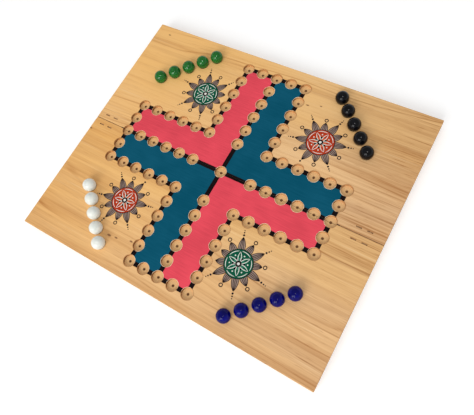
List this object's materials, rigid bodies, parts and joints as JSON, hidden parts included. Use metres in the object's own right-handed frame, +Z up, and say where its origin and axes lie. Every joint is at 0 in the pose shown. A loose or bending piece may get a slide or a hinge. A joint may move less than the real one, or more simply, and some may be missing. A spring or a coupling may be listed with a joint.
{
  "type": "folding ludo board",
  "caption": "Folding wooden plank board on butt hinges, drilled with a cross-shaped marble track, with painted lanes, corner rosettes and loose glass marbles in start pockets.",
  "frame": {"origin": "middle of the open board on the table, under the seam", "axes": "+X along the seam to the end with the wider margin, +Y to the rear plank, +Z up out of the playing face"},
  "size_m": [0.391, 0.3226, 0.027],
  "materials": {
    "pine": "planed softwood under a thin clear varnish",
    "hinge_steel": "dull plated sheet",
    "pin_steel": "drawn wire",
    "nail_steel": "dull, darkened",
    "green_glass": "polished, translucent",
    "black_glass": "polished, opaque",
    "white_glass": "polished, opaque",
    "blue_glass": "polished, nearly opaque",
    "pink_paint": "brushed paint film",
    "teal_paint": "brushed paint film",
    "black_paint": "brushed enamel line",
    "white_paint": "brush line",
    "green_paint": "brushed paint film",
    "red_paint": "brushed paint film",
    "grey_paint": "thin brush line"
  },
  "bodies": {
    "rear_half": {"rear_plank": "pine", "left_hinge_rear_leaf": "hinge_steel", "left_hinge_pin": "pin_steel", "left_rear_nails": "nail_steel", "right_hinge_rear_leaf": "hinge_steel", "right_hinge_pin": "pin_steel", "right_rear_nails": "nail_steel"},
    "front_half": {"front_plank": "pine", "left_hinge_front_leaf": "hinge_steel", "left_front_nails": "nail_steel", "right_hinge_front_leaf": "hinge_steel", "right_front_nails": "nail_steel"},
    "green_marble_1": {"green_marble_1": "green_glass"},
    "green_marble_2": {"green_marble_2": "green_glass"},
    "green_marble_3": {"green_marble_3": "green_glass"},
    "green_marble_4": {"green_marble_4": "green_glass"},
    "green_marble_5": {"green_marble_5": "green_glass"},
    "black_marble_1": {"black_marble_1": "black_glass"},
    "black_marble_2": {"black_marble_2": "black_glass"},
    "black_marble_3": {"black_marble_3": "black_glass"},
    "black_marble_4": {"black_marble_4": "black_glass"},
    "black_marble_5": {"black_marble_5": "black_glass"},
    "white_marble_1": {"white_marble_1": "white_glass"},
    "white_marble_2": {"white_marble_2": "white_glass"},
    "white_marble_3": {"white_marble_3": "white_glass"},
    "white_marble_4": {"white_marble_4": "white_glass"},
    "white_marble_5": {"white_marble_5": "white_glass"},
    "blue_marble_1": {"blue_marble_1": "blue_glass"},
    "blue_marble_2": {"blue_marble_2": "blue_glass"},
    "blue_marble_3": {"blue_marble_3": "blue_glass"},
    "blue_marble_4": {"blue_marble_4": "blue_glass"},
    "blue_marble_5": {"blue_marble_5": "blue_glass"}
  },
  "joints": [
    {"name": "board_fold", "type": "hinge", "parent": "rear_half", "child": "front_half", "pos_m": [0, 0, 0.00165], "axis": [1, 0, 0], "range_deg": [0, 180]},
    {"name": "green_marble_1_lift", "type": "slide", "parent": "rear_half", "child": "green_marble_1", "axis": [0, 0, 1], "range_m": [0, 0.03]},
    {"name": "green_marble_2_lift", "type": "slide", "parent": "rear_half", "child": "green_marble_2", "axis": [0, 0, 1], "range_m": [0, 0.03]},
    {"name": "green_marble_3_lift", "type": "slide", "parent": "rear_half", "child": "green_marble_3", "axis": [0, 0, 1], "range_m": [0, 0.03]},
    {"name": "green_marble_4_lift", "type": "slide", "parent": "rear_half", "child": "green_marble_4", "axis": [0, 0, 1], "range_m": [0, 0.03]},
    {"name": "green_marble_5_lift", "type": "slide", "parent": "rear_half", "child": "green_marble_5", "axis": [0, 0, 1], "range_m": [0, 0.03]},
    {"name": "black_marble_1_lift", "type": "slide", "parent": "rear_half", "child": "black_marble_1", "axis": [0, 0, 1], "range_m": [0, 0.03]},
    {"name": "black_marble_2_lift", "type": "slide", "parent": "rear_half", "child": "black_marble_2", "axis": [0, 0, 1], "range_m": [0, 0.03]},
    {"name": "black_marble_3_lift", "type": "slide", "parent": "rear_half", "child": "black_marble_3", "axis": [0, 0, 1], "range_m": [0, 0.03]},
    {"name": "black_marble_4_lift", "type": "slide", "parent": "rear_half", "child": "black_marble_4", "axis": [0, 0, 1], "range_m": [0, 0.03]},
    {"name": "black_marble_5_lift", "type": "slide", "parent": "rear_half", "child": "black_marble_5", "axis": [0, 0, 1], "range_m": [0, 0.03]},
    {"name": "white_marble_1_lift", "type": "slide", "parent": "front_half", "child": "white_marble_1", "axis": [0, 0, 1], "range_m": [0, 0.03]},
    {"name": "white_marble_2_lift", "type": "slide", "parent": "front_half", "child": "white_marble_2", "axis": [0, 0, 1], "range_m": [0, 0.03]},
    {"name": "white_marble_3_lift", "type": "slide", "parent": "front_half", "child": "white_marble_3", "axis": [0, 0, 1], "range_m": [0, 0.03]},
    {"name": "white_marble_4_lift", "type": "slide", "parent": "front_half", "child": "white_marble_4", "axis": [0, 0, 1], "range_m": [0, 0.03]},
    {"name": "white_marble_5_lift", "type": "slide", "parent": "front_half", "child": "white_marble_5", "axis": [0, 0, 1], "range_m": [0, 0.03]},
    {"name": "blue_marble_1_lift", "type": "slide", "parent": "front_half", "child": "blue_marble_1", "axis": [0, 0, 1], "range_m": [0, 0.03]},
    {"name": "blue_marble_2_lift", "type": "slide", "parent": "front_half", "child": "blue_marble_2", "axis": [0, 0, 1], "range_m": [0, 0.03]},
    {"name": "blue_marble_3_lift", "type": "slide", "parent": "front_half", "child": "blue_marble_3", "axis": [0, 0, 1], "range_m": [0, 0.03]},
    {"name": "blue_marble_4_lift", "type": "slide", "parent": "front_half", "child": "blue_marble_4", "axis": [0, 0, 1], "range_m": [0, 0.03]},
    {"name": "blue_marble_5_lift", "type": "slide", "parent": "front_half", "child": "blue_marble_5", "axis": [0, 0, 1], "range_m": [0, 0.03]}
  ]
}
